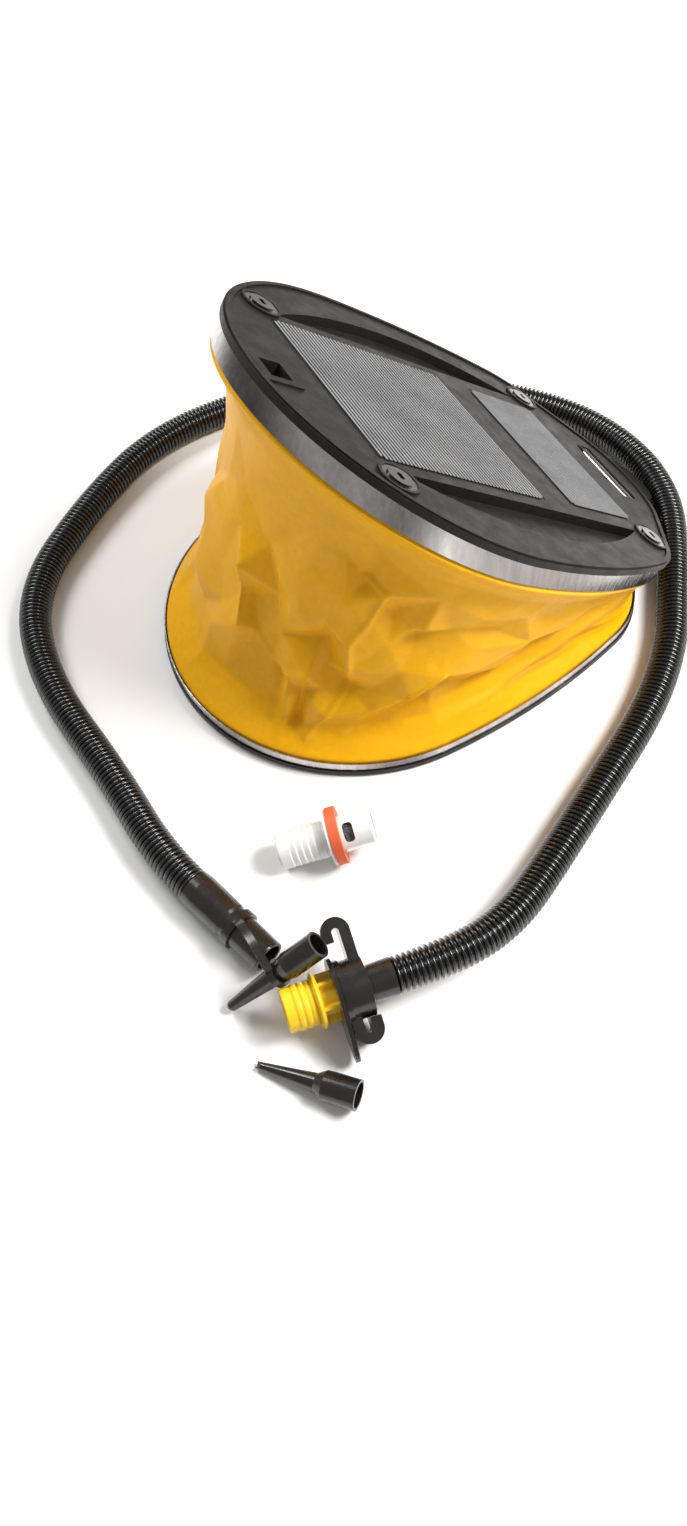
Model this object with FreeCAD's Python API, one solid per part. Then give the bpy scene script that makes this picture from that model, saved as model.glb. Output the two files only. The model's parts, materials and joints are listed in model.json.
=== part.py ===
import FreeCAD, Part
import math
import os
from FreeCAD import Vector

# Foot air pump: two hinged teardrop plates joined by a fabric bellows, with a
# loose corrugated hose, its two end fittings, a valve adaptor and a cone nozzle.
# Millimetres, +Z up. Origin: centre of the free end's big arc, on the plane the
# feet stand on. +X runs from the free end to the hinge. The pedal is modelled
# shut, parallel to the base, and then turned open about the hinge.

os.makedirs("parts", exist_ok=True)

# ---- driving dimensions ------------------------------------------------------
R_FREE = 128.0          # big arc at the free end, centre at the origin
R_SIDE = 450.0          # shallow side arcs
R_CORNER = 60.0         # shoulder between a side arc and the tapered run
A_SIDE = 71.9           # polar angle where the side arc meets the shoulder
A_TAPER = 38.0          # polar angle of the tapered run's normal
R_TAIL = 80.0           # rounded tail at the hinge end
X_TAIL = 213.9
X_SKIRT = 173.0         # the bellows closes square across here
R_SKIRT = 9.0

FOOT_H = 1.5            # rubber pads below the base
BASE_FLANGE_TOP = 5.0
BASE_TOP = 12.0
HINGE_X, HINGE_Z = 207.5, 14.4
OPEN_DEG = 36.0

PEDAL_LOW = -2.0        # heights on the pedal are measured from the hinge plane
PEDAL_WEB = 7.0
PEDAL_LIP = 11.0
PEDAL_TOP = 15.0

RIM_INSET = 3.6         # wall that the bellows is clamped round
FABRIC_IN, FABRIC_OUT = 3.3, 2.1
BAND_IN, BAND_OUT = 1.7, 0.9
WALL = 4.0

PIN_R = 2.5
PIN_BORE_R = 2.55
KNUCKLE_R = 6.4
NOSE_R, NOSE_X = 25.0, 206.0

HOSE_R = 10.65


# ---- small helpers -----------------------------------------------------------
def export(shape, node):
    shape.exportStep("parts/" + node + ".step")


def polar(centre, radius, degrees):
    a = math.radians(degrees)
    return Vector(centre[0] + radius * math.cos(a), centre[1] + radius * math.sin(a), 0)


def arc_edge(centre, radius, start, end):
    mid = (start + end) / 2.0
    points = [polar(centre, radius, a) for a in (start, mid, end)]
    return Part.Arc(*points).toShape()


def box(x0, y0, z0, x1, y1, z1):
    return Part.makeBox(x1 - x0, y1 - y0, z1 - z0, Vector(x0, y0, z0))


def cyl(radius, height, base, axis=Vector(0, 0, 1)):
    return Part.makeCylinder(radius, height, base, axis)


def tube(r_out, r_in, height, base, axis=Vector(0, 0, 1)):
    inner = cyl(r_in, height + 2, base - axis * 1.0, axis)
    return cyl(r_out, height, base, axis).cut(inner)


def outline(inset, tail="round"):
    """Closed teardrop wire at z=0, moved inwards by inset; tail is round or square."""
    side = (0.0, R_FREE - R_SIDE)
    reach = R_SIDE - R_CORNER
    a = math.radians(A_SIDE)
    corner = (side[0] + reach * math.cos(a), side[1] + reach * math.sin(a))
    t = math.radians(A_TAPER)
    r_end, x_end = (R_TAIL, X_TAIL) if tail == "round" else (R_SKIRT, X_SKIRT)
    end_x = x_end - r_end
    along = (R_CORNER - r_end) - (end_x - corner[0]) * math.cos(t)
    end = (end_x, max(0.0, corner[1] + along / math.sin(t)))
    upper = [arc_edge((0, 0), R_FREE - inset, 180, 90),
             arc_edge(side, R_SIDE - inset, 90, A_SIDE),
             arc_edge(corner, R_CORNER - inset, A_SIDE, A_TAPER)]
    start = polar(corner, R_CORNER - inset, A_TAPER)
    if tail == "round":
        end = (end_x, 0.0)
    upper.append(Part.LineSegment(start, polar(end, r_end - inset, A_TAPER)).toShape())
    upper.append(arc_edge(end, r_end - inset, A_TAPER, 0))
    lower = [e.mirror(Vector(0, 0, 0), Vector(0, 1, 0)) for e in upper]
    edges = upper + lower
    if tail != "round":
        tip = polar(end, r_end - inset, 0)
        edges.append(Part.LineSegment(tip, Vector(tip.x, -tip.y, 0)).toShape())
    return Part.Wire(Part.__sortEdges__(edges))


def prism(wire, z0, z1):
    face = Part.Face(wire)
    face.translate(Vector(0, 0, z0))
    return face.extrude(Vector(0, 0, z1 - z0))


def ring(outer, inner, z0, z1, tail):
    return prism(outline(outer, tail), z0, z1).cut(prism(outline(inner, tail), z0 - 1, z1 + 1))


def rounded_plate(x0, x1, y, radius, z0, z1):
    """Flat plate from x0 to x1, half width y, corners of the given radius."""
    plate = box(x0, -y, z0, x1, y, z1)
    corners = [e for e in plate.Edges if abs(e.BoundBox.ZLength - (z1 - z0)) < 1e-6
               and e.BoundBox.XLength < 1e-6 and e.BoundBox.YLength < 1e-6]
    return plate.makeFillet(radius, corners)


def open_pedal(shape):
    """Lift a shape from pedal heights to the hinge plane and swing it open."""
    moved = shape.copy()
    moved.translate(Vector(0, 0, HINGE_Z))
    moved.rotate(Vector(HINGE_X, 0, HINGE_Z), Vector(0, 1, 0), OPEN_DEG)
    return moved


def revolve(profile):
    """Solid of revolution about X from a list of (x, radius) points."""
    points = [Vector(x, 0, r) for x, r in profile]
    wire = Part.makePolygon(points + [points[0]])
    return Part.Face(wire).revolve(Vector(0, 0, 0), Vector(1, 0, 0), 360)


def place(shape, start, end, roll=0.0):
    """Carry a shape built along +X from the origin onto the line start to end."""
    direction = (end - start).normalize()
    flat = math.hypot(direction.x, direction.y)
    moved = shape.copy()
    moved.rotate(Vector(0, 0, 0), Vector(1, 0, 0), roll)
    moved.rotate(Vector(0, 0, 0), Vector(0, 1, 0), -math.degrees(math.atan2(direction.z, flat)))
    moved.rotate(Vector(0, 0, 0), Vector(0, 0, 1), math.degrees(math.atan2(direction.y, direction.x)))
    moved.translate(start)
    return moved


# ---- base --------------------------------------------------------------------
PORT_CENTRE = Vector(88.0, 143.0, 30.0)     # centre of the outlet socket's mouth
PORT_DIR = Vector(-0.9466, 0.1922, 0.2588).normalize()
PORT_R, PORT_BORE_R = 17.0, 12.6
PORT_LEN, PORT_BORE_LEN = 44.0, 24.0
SEAT_R, SEAT_DEPTH = 11.0, 3.2              # recess below the socket that holds the valve seat
DUCT_X = (84.0, 124.0)                      # outlet channel through the back flange
PORT_SCREW_X = (75.0, 137.6)
PORT_SCREW_Y = 127.5
PORT_FOOT_Z = 3.2                           # the port's foot sits on two tabs of the base
EAR_Y = (27.0, 41.0)
SPRING_X = 20.0


def base_plate():
    plate = prism(outline(0), FOOT_H, BASE_FLANGE_TOP)
    plate = plate.fuse(prism(outline(RIM_INSET, "square"), BASE_FLANGE_TOP, BASE_TOP))
    plate = plate.cut(prism(outline(RIM_INSET + WALL, "square"), BASE_FLANGE_TOP, BASE_TOP + 1))
    for side in (-1, 1):
        y0, y1 = sorted((side * EAR_Y[0], side * EAR_Y[1]))
        ear = box(HINGE_X - 6, y0, BASE_FLANGE_TOP - 1, HINGE_X + 6, y1, HINGE_Z)
        ear = ear.fuse(cyl(KNUCKLE_R, y1 - y0, Vector(HINGE_X, y0, HINGE_Z), Vector(0, 1, 0)))
        plate = plate.fuse(ear)
    for y in (-90, -60, -30, 0, 30, 60, 90):    # stiffening ribs on the floor
        reach = math.sqrt((R_FREE - 12) ** 2 - y * y)
        plate = plate.fuse(box(-reach, y - 1, BASE_FLANGE_TOP - 1, SPRING_X - 48, y + 1, 8.0))
    plate = plate.cut(cyl(PIN_BORE_R, 120, Vector(HINGE_X, -60, HINGE_Z), Vector(0, 1, 0)))
    plate = plate.cut(box(DUCT_X[0], 96, 2.6, DUCT_X[1], 140, 4.2))
    plate = plate.cut(box(DUCT_X[0], 92, 2.6, DUCT_X[1], 104, 6.0))
    for x in PORT_SCREW_X:
        tab = box(x - 4.6, 104, FOOT_H, x + 4.6, 133, PORT_FOOT_Z)
        plate = plate.fuse(tab).cut(cyl(1.6, 4, Vector(x, PORT_SCREW_Y, FOOT_H + 0.3)))
    for x, y in FOOT_PLACES:
        plate = plate.cut(cyl(7.2, 1.0, Vector(x, y, FOOT_H - 0.1)))
    return plate


FOOT_PLACES = [(0, 0), (-106, 0), (-30, 104), (-30, -104), (70, 100), (70, -100), (188, 26), (188, -26)]


def base_feet():
    pads = [cyl(7.0, FOOT_H + 0.9, Vector(x, y, 0)) for x, y in FOOT_PLACES]
    return Part.makeCompound(pads)


# ---- bellows and its clamps --------------------------------------------------
def bellows():
    low_out = Part.Wire(outline(FABRIC_OUT, "square").Edges)
    low_in = Part.Wire(outline(FABRIC_IN, "square").Edges)
    walls = []
    for wire in (low_out, low_in):
        bottom = wire.copy()
        bottom.translate(Vector(0, 0, BASE_TOP))
        top = wire.copy()
        top.translate(Vector(0, 0, PEDAL_LOW))
        walls.append(Part.makeLoft([bottom, open_pedal(top)], True, True))
    skin = walls[0].cut(walls[1])
    bottom_collar = ring(FABRIC_OUT, FABRIC_IN, BASE_FLANGE_TOP + 0.4, BASE_TOP, "square")
    top_collar = open_pedal(ring(FABRIC_OUT, FABRIC_IN, PEDAL_LOW, PEDAL_LIP - 0.4, "square"))
    return skin.fuse([bottom_collar, top_collar])


BAND_LOW = (BASE_FLANGE_TOP + 0.5, BASE_TOP - 0.2)
BAND_TOP = (PEDAL_LOW + 0.8, PEDAL_LIP - 0.3)


def bottom_band():
    return ring(BAND_OUT, BAND_IN, BAND_LOW[0], BAND_LOW[1], "square")


def top_band():
    return open_pedal(ring(BAND_OUT, BAND_IN, BAND_TOP[0], BAND_TOP[1], "square"))


def band_clip(z0, z1):
    """Folded buckle over the band's lapped ends, on the free end's back."""
    clip = box(-R_FREE - 1.6, -9, z0, -R_FREE + BAND_OUT - 0.02, 9, z1)
    curve = cyl(R_FREE - BAND_OUT + 0.02, z1 - z0 + 2, Vector(0, 0, z0 - 1))
    clip = clip.fuse(box(-R_FREE - 2.4, -3, z0, -R_FREE - 1.5, 3, z1))
    outer = clip.cut(curve)
    outer.rotate(Vector(0, 0, 0), Vector(0, 0, 1), -75)
    return outer


# ---- pedal -------------------------------------------------------------------
TREAD_LARGE = (-80.0, 58.0, 64.0)
TREAD_SMALL = (85.0, 152.0, 61.0)
TREAD_SEAT = PEDAL_TOP - 1.3
BOSS_PLACES = [(-77.0, 79.0), (-77.0, -79.0), (156.0, 76.0), (156.0, -76.0)]
BOSS_R = 10.5
INTAKE = (-118.0, -104.0, 8.0)              # x from, x to, half width
SLOT = (176.0, 192.0, 29.0)
ROD_X, ROD_Z, ROD_R = 188.6, 11.6, 2.75


def crescent(side):
    """Sunk channel between a tread and the side rim: straight inside, arched outside."""
    inner = 72.0 * side
    start, end = Vector(-70, inner, 0), Vector(143, inner, 0)
    apex = Vector(34, 101.0 * side, 0)
    edges = [Part.LineSegment(start, end).toShape(), Part.Arc(end, apex, start).toShape()]
    face = Part.Face(Part.Wire(edges))
    face.translate(Vector(0, 0, PEDAL_TOP - 6.0))
    return face.extrude(Vector(0, 0, 10))


def pedal_plate():
    slab = prism(outline(0), PEDAL_LIP, PEDAL_TOP)
    nose = cyl(NOSE_R, PEDAL_TOP - PEDAL_LIP, Vector(NOSE_X, 0, PEDAL_LIP))
    plate = slab.fuse(nose).fuse(prism(outline(RIM_INSET, "square"), PEDAL_LOW, PEDAL_LIP))
    plate = plate.cut(prism(outline(RIM_INSET + WALL, "square"), PEDAL_LOW - 1, PEDAL_WEB))
    block = box(X_SKIRT + 0.6, -44, PEDAL_WEB, 205, 44, PEDAL_LIP)
    plate = plate.fuse(block)
    lip = prism(outline(1.2), PEDAL_TOP - 1, PEDAL_TOP + 1.1)
    plate = plate.fuse(lip.cut(prism(outline(4.2), PEDAL_TOP - 2, PEDAL_TOP + 2)))
    knuckle_y = EAR_Y[0] - 0.6
    knuckle = cyl(KNUCKLE_R, 2 * knuckle_y, Vector(HINGE_X, -knuckle_y, 0), Vector(0, 1, 0))
    web = box(HINGE_X - 5, -knuckle_y, 0, HINGE_X + 5, knuckle_y, PEDAL_LIP + 1)
    plate = plate.fuse([knuckle, web])
    frame = box(INTAKE[0] - 5, -INTAKE[2] - 5, PEDAL_TOP - 1, INTAKE[1] + 5, INTAKE[2] + 5, PEDAL_TOP + 0.9)
    plate = plate.fuse(frame)
    for side in (-1, 1):
        plate = plate.cut(crescent(side))
    inside = prism(outline(RIM_INSET), PEDAL_WEB, PEDAL_TOP + 4)
    for x, y in BOSS_PLACES:
        plate = plate.fuse(cyl(BOSS_R + 2.0, 9.4, Vector(x, y, PEDAL_WEB)).common(inside))
        plate = plate.cut(cyl(BOSS_R + 0.1, 5, Vector(x, y, PEDAL_TOP - 1.2)))
        plate = plate.cut(cyl(4.1, 8, Vector(x, y, PEDAL_TOP - 6.0)))
    for x0, x1, y in (TREAD_LARGE, TREAD_SMALL):
        plate = plate.cut(rounded_plate(x0 - 0.2, x1 + 0.2, y + 0.2, 4.2, TREAD_SEAT, PEDAL_TOP + 3))
    plate = plate.cut(box(INTAKE[0], -INTAKE[2], PEDAL_LOW, INTAKE[1], INTAKE[2], PEDAL_TOP + 3))
    plate = plate.cut(rounded_plate(SLOT[0], SLOT[1], SLOT[2], 3.0, PEDAL_LOW, PEDAL_TOP + 3))
    plate = plate.cut(cyl(ROD_R, 70, Vector(ROD_X, -35, ROD_Z), Vector(0, 1, 0)))
    plate = plate.cut(cyl(PIN_BORE_R, 120, Vector(HINGE_X, -60, 0), Vector(0, 1, 0)))
    return open_pedal(plate)


def tread(x0, x1, y, pitch):
    """Ribbed pad let into the pedal; its ribs run across, parallel to the hinge."""
    rib = 0.52 * pitch
    pad = rounded_plate(x0, x1, y, 4.0, TREAD_SEAT, PEDAL_TOP - 0.2)
    count = int((x1 - x0 - 3.0) / pitch)
    first = (x0 + x1 - (count - 1) * pitch) / 2.0
    ribs = []
    for i in range(count):
        x = first + i * pitch
        short = 3.0 if i in (0, count - 1) else 1.2
        ribs.append(box(x - rib / 2, -y + short, PEDAL_TOP - 0.4, x + rib / 2, y - short, PEDAL_TOP + 0.7))
    return open_pedal(pad.fuse(ribs))


def boss_plugs():
    plugs = []
    for x, y in BOSS_PLACES:
        plug = cyl(BOSS_R, 2.2, Vector(x, y, PEDAL_TOP - 1.2))
        plug = plug.fuse(cyl(BOSS_R - 3.0, 1.0, Vector(x, y, PEDAL_TOP + 1.0)))
        plug = plug.fuse(cyl(4.0, 4.6, Vector(x, y, PEDAL_TOP - 5.8)))
        plug = plug.cut(rounded_plate(x - 1.6, x + 1.6, 2.9, 1.4, PEDAL_TOP - 3, PEDAL_TOP + 3)
                        .translated(Vector(0, y, 0)))
        plugs.append(open_pedal(plug))
    return Part.makeCompound(plugs)


def grip_rod():
    return open_pedal(cyl(ROD_R, 69.6, Vector(ROD_X, -34.8, ROD_Z), Vector(0, 1, 0)))


def hinge_pin():
    length = EAR_Y[1] + 3.0
    return cyl(PIN_R, 2 * length, Vector(HINGE_X, -length, HINGE_Z), Vector(0, 1, 0))


def pin_clips():
    clips = []
    for side in (-1, 1):
        y = side * (EAR_Y[1] + (0.3 if side > 0 else 1.5))
        clips.append(tube(5.2, PIN_R, 1.2, Vector(HINGE_X, y, HINGE_Z), Vector(0, 1, 0)))
    return Part.makeCompound(clips)


# ---- inside the bellows ------------------------------------------------------
SPRING_TURNS = 6
SPRING_WIRE_R = 1.6
SPRING_COIL = (34.0, 20.0)                  # coil radius at the base, at the pedal


def return_spring():
    """Conical wire coil whose axis is an arc about the hinge, so both ends sit flat."""
    reach = HINGE_X - SPRING_X
    low, high = math.radians(-1.5), math.radians(OPEN_DEG - 0.6)
    steps = 14 * SPRING_TURNS
    points = []
    for i in range(steps + 1):
        f = i / steps
        turn = 2 * math.pi * SPRING_TURNS * f
        coil = SPRING_COIL[0] + (SPRING_COIL[1] - SPRING_COIL[0]) * f
        radius = reach + coil * math.cos(turn)
        angle = low + (high - low) * f
        points.append(Vector(HINGE_X - radius * math.cos(angle), coil * math.sin(turn),
                             HINGE_Z + radius * math.sin(angle)))
    curve = Part.BSplineCurve()
    curve.interpolate(points)
    path = Part.Wire(curve.toShape())
    start, tangent = curve.value(curve.FirstParameter), curve.tangent(curve.FirstParameter)[0]
    section = Part.Wire(Part.makeCircle(SPRING_WIRE_R, start, tangent))
    return path.makePipeShell([section], True, True)


def spring_seat_lower():
    seat = tube(42, 30, 1.6, Vector(SPRING_X, 0, BASE_FLANGE_TOP))
    return seat.fuse(tube(42, 39.5, 5.0, Vector(SPRING_X, 0, BASE_FLANGE_TOP)))


def spring_seat_upper():
    seat = tube(27, 16, 1.6, Vector(SPRING_X, 0, PEDAL_WEB - 1.6))
    return open_pedal(seat.fuse(tube(27, 24.6, 4.4, Vector(SPRING_X, 0, PEDAL_WEB - 4.4))))


FLAP_HINGE = Vector(INTAKE[1] + 4.5, 0, PEDAL_WEB - 1.6)


def intake_frame():
    """Seat round the intake hole with the two lugs that carry the flap's wire."""
    x0, x1, y = INTAKE[0] - 1.5, INTAKE[1] + 8.0, INTAKE[2] + 6.0
    seat = box(x0, -y, PEDAL_WEB - 0.6, x1, y, PEDAL_WEB)
    seat = seat.cut(box(INTAKE[0], -INTAKE[2], PEDAL_WEB - 2, INTAKE[1], INTAKE[2], PEDAL_WEB + 1))
    for side in (-1, 1):
        y0, y1 = sorted((side * (y - 2.2), side * y))
        lug = box(FLAP_HINGE.x - 2, y0, FLAP_HINGE.z - 1.8, FLAP_HINGE.x + 2, y1, PEDAL_WEB - 0.5)
        seat = seat.fuse(lug)
    bore = cyl(0.85, 60, Vector(FLAP_HINGE.x, -30, FLAP_HINGE.z), Vector(0, 1, 0))
    return open_pedal(seat.cut(bore))


def intake_flap():
    y = INTAKE[2] + 3.3
    leaf = box(INTAKE[0] - 1.5, -y, PEDAL_WEB - 2.2, FLAP_HINGE.x, y, PEDAL_WEB - 1.0)
    barrel = cyl(0.75, 2 * (INTAKE[2] + 5.9), Vector(FLAP_HINGE.x, -INTAKE[2] - 5.9, FLAP_HINGE.z),
                 Vector(0, 1, 0))
    return open_pedal(leaf.fuse(barrel))


# ---- outlet ------------------------------------------------------------------
def outlet_port():
    """Socket body bolted behind the base; a low duct joins it to the flange's channel."""
    back = PORT_CENTRE - PORT_DIR * PORT_LEN
    body = cyl(PORT_R, PORT_LEN, back, PORT_DIR)
    duct = box(DUCT_X[0] - 4, 121.5, FOOT_H, DUCT_X[1] + 4, 137, 11.0)
    foot = box(PORT_SCREW_X[0] - 5, 120, PORT_FOOT_Z, PORT_SCREW_X[1] + 5, 134, PORT_FOOT_Z + 3)
    prop = box(PORT_CENTRE.x, 122, FOOT_H, PORT_CENTRE.x + 8, 150, PORT_CENTRE.z - 8)
    body = body.fuse([duct, foot, prop])
    body = body.cut(prism(outline(-0.15), 0, 14))
    body = body.cut(cyl(PORT_BORE_R, PORT_BORE_LEN + 1, PORT_CENTRE - PORT_DIR * PORT_BORE_LEN, PORT_DIR))
    body = body.cut(cyl(SEAT_R, SEAT_DEPTH, PORT_CENTRE - PORT_DIR * (PORT_BORE_LEN + SEAT_DEPTH), PORT_DIR))
    body = body.cut(cyl(8.0, PORT_LEN - 3, back + PORT_DIR * 3.0, PORT_DIR))
    body = body.cut(box(PORT_CENTRE.x + 11, 100, 2.6, DUCT_X[1] - 4, 136, 12.0))
    slot = box(-6.0, PORT_BORE_R - 1, -2.2, 1.0, PORT_BORE_R + 2.2, 2.2)
    for angle in (0, 180):                    # two bayonet ways in the mouth
        way = slot.copy()
        way.rotate(Vector(0, 0, 0), Vector(1, 0, 0), angle)
        body = body.cut(place(way, PORT_CENTRE, PORT_CENTRE + PORT_DIR))
    for x in PORT_SCREW_X:
        body = body.cut(cyl(1.6, 12, Vector(x, PORT_SCREW_Y, 0)))
    return body


def port_screws():
    screws = []
    y, seat = PORT_SCREW_Y, PORT_FOOT_Z + 3.0
    for x in PORT_SCREW_X:
        screw = cyl(1.6, seat - FOOT_H, Vector(x, y, FOOT_H + 0.4)).fuse(cyl(3.1, 1.8, Vector(x, y, seat)))
        screw = screw.cut(box(x - 2.2, y - 0.4, seat + 0.9, x + 2.2, y + 0.4, seat + 3))
        screw = screw.cut(box(x - 0.4, y - 2.2, seat + 0.9, x + 0.4, y + 2.2, seat + 3))
        screws.append(screw)
    return Part.makeCompound(screws)


def outlet_seat():
    """Valve ring at the bottom of the socket that the outlet flap shuts against."""
    seat = revolve([(0, 6.0), (0, SEAT_R), (3.0, SEAT_R), (3.0, 10.2), (1.4, 10.2), (1.4, 6.0)])
    origin = PORT_CENTRE - PORT_DIR * (PORT_BORE_LEN + SEAT_DEPTH)
    return place(seat, origin, origin + PORT_DIR)


def outlet_flap():
    leaf = cyl(8.0, 1.0, Vector(1.55, 0, 0), Vector(1, 0, 0))
    leaf = leaf.fuse(box(1.55, -3.0, 6.0, 2.55, 3.0, 9.0))
    leaf = leaf.fuse(cyl(0.6, 6.0, Vector(2.05, -3.0, 9.0), Vector(0, 1, 0)))
    origin = PORT_CENTRE - PORT_DIR * (PORT_BORE_LEN + SEAT_DEPTH)
    return place(leaf, origin, origin + PORT_DIR)


# ---- hose --------------------------------------------------------------------
CUFF_START = Vector(-177.5, -142.0, 12.2)
CUFF_END = Vector(-158.5, -200.0, 12.2)
CONN_START = Vector(-105.0, -244.0, 20.5)
CONN_END = Vector(-165.0, -234.4, 20.5)

HOSE_ROUTE = [
    (-177.5, -142.0, 12.2), (-187.1, -112.5, 12.2), (-191.0, -52.0, 10.8), (-205.0, 42.0, 10.8),
    (-188.0, 118.0, 10.8), (-122.0, 176.0, 10.8), (-56.0, 216.0, 10.8), (22.0, 222.0, 10.8),
    (94.0, 206.0, 10.8), (152.0, 174.0, 10.8), (200.0, 132.0, 10.8), (237.0, 84.0, 10.8),
    (251.0, 30.0, 10.8), (243.0, -20.0, 10.8), (217.0, -62.0, 10.8), (190.0, -97.0, 10.8),
    (167.0, -127.0, 10.8), (125.0, -162.0, 10.8), (60.0, -197.0, 10.8), (8.0, -225.0, 12.0),
    (-30.0, -244.2, 17.0), (-67.5, -250.0, 20.5), (-105.0, -244.0, 20.5)]


def route_wire(points):
    """Straight runs joined by tangent arcs, each as large as its two runs allow."""
    corners = [Vector(*p) for p in points]
    edges, last, radii = [], corners[0], []
    for before, here, after in zip(corners, corners[1:], corners[2:]):
        back, ahead = before - here, after - here
        turn = math.pi - back.getAngle(ahead)
        cut = 0.45 * min(back.Length, ahead.Length)
        radii.append(cut / math.tan(turn / 2))
        arc_start = here + back.normalize() * cut
        arc_end = here + ahead.normalize() * cut
        centre_dir = (back + ahead).normalize()
        sag = radii[-1] * (1 / math.cos(turn / 2) - 1)
        edges.append(Part.LineSegment(last, arc_start).toShape())
        edges.append(Part.Arc(arc_start, here + centre_dir * sag, arc_end).toShape())
        last = arc_end
    edges.append(Part.LineSegment(last, corners[-1]).toShape())
    print("hose radii in diameters:", [round(r / (2 * HOSE_R), 1) for r in radii])
    return Part.Wire(edges)


def hose():
    path = route_wire(HOSE_ROUTE)
    start = Vector(*HOSE_ROUTE[0])
    direction = Vector(*HOSE_ROUTE[1]) - start
    outer = Part.Wire(Part.makeCircle(HOSE_R, start, direction))
    pipe = path.makePipeShell([outer], True, False)
    length = path.Length
    want = math.pi * HOSE_R ** 2 * length
    print("hose length", round(length), "volume ratio", round(pipe.Volume / want, 4))
    return pipe


# ---- delivery end of the hose ------------------------------------------------
CUFF_BORE_R = 8.0
CUFF_BORE_LEN = 34.0


def hose_cuff():
    length = (CUFF_END - CUFF_START).Length
    body = revolve([(0, 0), (0, 11.0), (6, 11.4), (29, 10.9), (31, 10.3), (length - 1, 9.8),
                    (length, 9.5), (length, CUFF_BORE_R), (length - CUFF_BORE_LEN, CUFF_BORE_R),
                    (length - CUFF_BORE_LEN, 6.5), (3, 6.5), (3, 0)])
    return place(body, CUFF_START, CUFF_END)


RING_AT = 34.0                              # tether ring's place along the cuff
NOZZLE_TIP = Vector(-189.0, -212.5, 3.4)
NOZZLE_MOUTH = Vector(-136.0, -218.5, 44.5)
STRAP_AT = 35.5                             # tether ring's place along the nozzle


def tethered_nozzle():
    length = (NOZZLE_MOUTH - NOZZLE_TIP).Length
    body = revolve([(0, 0), (0.4, 1.9), (2.2, 3.1), (40, 6.0), (46, 7.6), (length, 7.6),
                    (length, 6.0), (length - 16, 6.0), (length - 16, 2.4), (8, 1.4), (8, 0)])
    return place(body, NOZZLE_TIP, NOZZLE_MOUTH)


def tether_strap():
    """Flat strap from a ring on the cuff to a ring on the nozzle, in one vertical plane."""
    cuff_dir = (CUFF_END - CUFF_START).normalize()
    nozzle_dir = (NOZZLE_MOUTH - NOZZLE_TIP).normalize()
    at_cuff = CUFF_START + cuff_dir * RING_AT
    at_nozzle = NOZZLE_TIP + nozzle_dir * STRAP_AT
    ring_a = place(tube(12.0, 10.4, 5.0, Vector(0, 0, 0), Vector(1, 0, 0)), at_cuff, at_cuff + cuff_dir)
    ring_b = place(tube(7.8, 6.2, 4.0, Vector(0, 0, 0), Vector(1, 0, 0)), at_nozzle, at_nozzle + nozzle_dir)
    start = at_cuff + cuff_dir * 2.5 + Vector(0, 0, 10.6)
    upright = (Vector(0, 0, 1) - nozzle_dir * nozzle_dir.z).normalize()
    end = at_nozzle + nozzle_dir * 2.0 + upright * 6.8
    middle = (start + end) * 0.5 + Vector(0, 0, 7.0)
    across = (end - start).cross(Vector(0, 0, 1)).normalize()
    rise = Vector(0, 0, 1.5)
    edges = [Part.Arc(start, middle, end).toShape(),
             Part.LineSegment(end, end + rise).toShape(),
             Part.Arc(end + rise, middle + rise, start + rise).toShape(),
             Part.LineSegment(start + rise, start).toShape()]
    face = Part.Face(Part.Wire(edges))
    face.translate(across * -2.2)
    strap = face.extrude(across * 4.4)
    strap = strap.cut(place(cyl(10.4, 30, Vector(-5, 0, 0), Vector(1, 0, 0)), at_cuff, at_cuff + cuff_dir))
    strap = strap.cut(place(cyl(6.2, 14, Vector(-5, 0, 0), Vector(1, 0, 0)), at_nozzle, at_nozzle + nozzle_dir))
    return ring_a.fuse([strap, ring_b])


# ---- pump end of the hose: bayonet connector ---------------------------------
COLLAR_FROM, COLLAR_TO = 15.0, 30.0
COLLAR_BORE_R = 9.9
DISC_FROM, DISC_TO = 30.4, 32.8
SPIGOT_R = 11.9
SPIGOT_BORE_R = 9.0
WING_ROLL = -20.0


def on_connector(shape, roll=0.0):
    return place(shape, CONN_START, CONN_END, roll)


def connector_cuff():
    """Sleeve on the hose end; its barrel is the journal that the collar turns on."""
    body = revolve([(0, 0), (0, 10.6), (13, 10.2), (13, 9.8), (DISC_FROM, 9.8), (DISC_FROM, 6.5),
                    (3, 6.5), (3, 0)])
    return on_connector(body)


def finger_hook(neck_x, curl, height):
    """Finger grip on the collar: a neck that rises from the ring and curls over along the axis."""
    inner, outer, half_width = 2.0, 8.0, 8.0
    half_thick = (outer - inner) / 2
    centre_x = neck_x + curl * (inner + half_thick)
    neck = box(neck_x - half_thick, 14, -half_width, neck_x + half_thick, height, half_width)
    curled = cyl(outer, 2 * half_width, Vector(centre_x, height, -half_width), Vector(0, 0, 1))
    curled = curled.cut(cyl(inner, 20, Vector(centre_x, height, -10), Vector(0, 0, 1)))
    curled = curled.cut(box(centre_x - 10, height - 10, -10, centre_x + 10, height, 10))
    tip_x = centre_x + curl * (inner + half_thick)
    tip = box(tip_x - half_thick, height - 5.0, -half_width, tip_x + half_thick, height, half_width)
    return neck.fuse([curled, tip])


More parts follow.
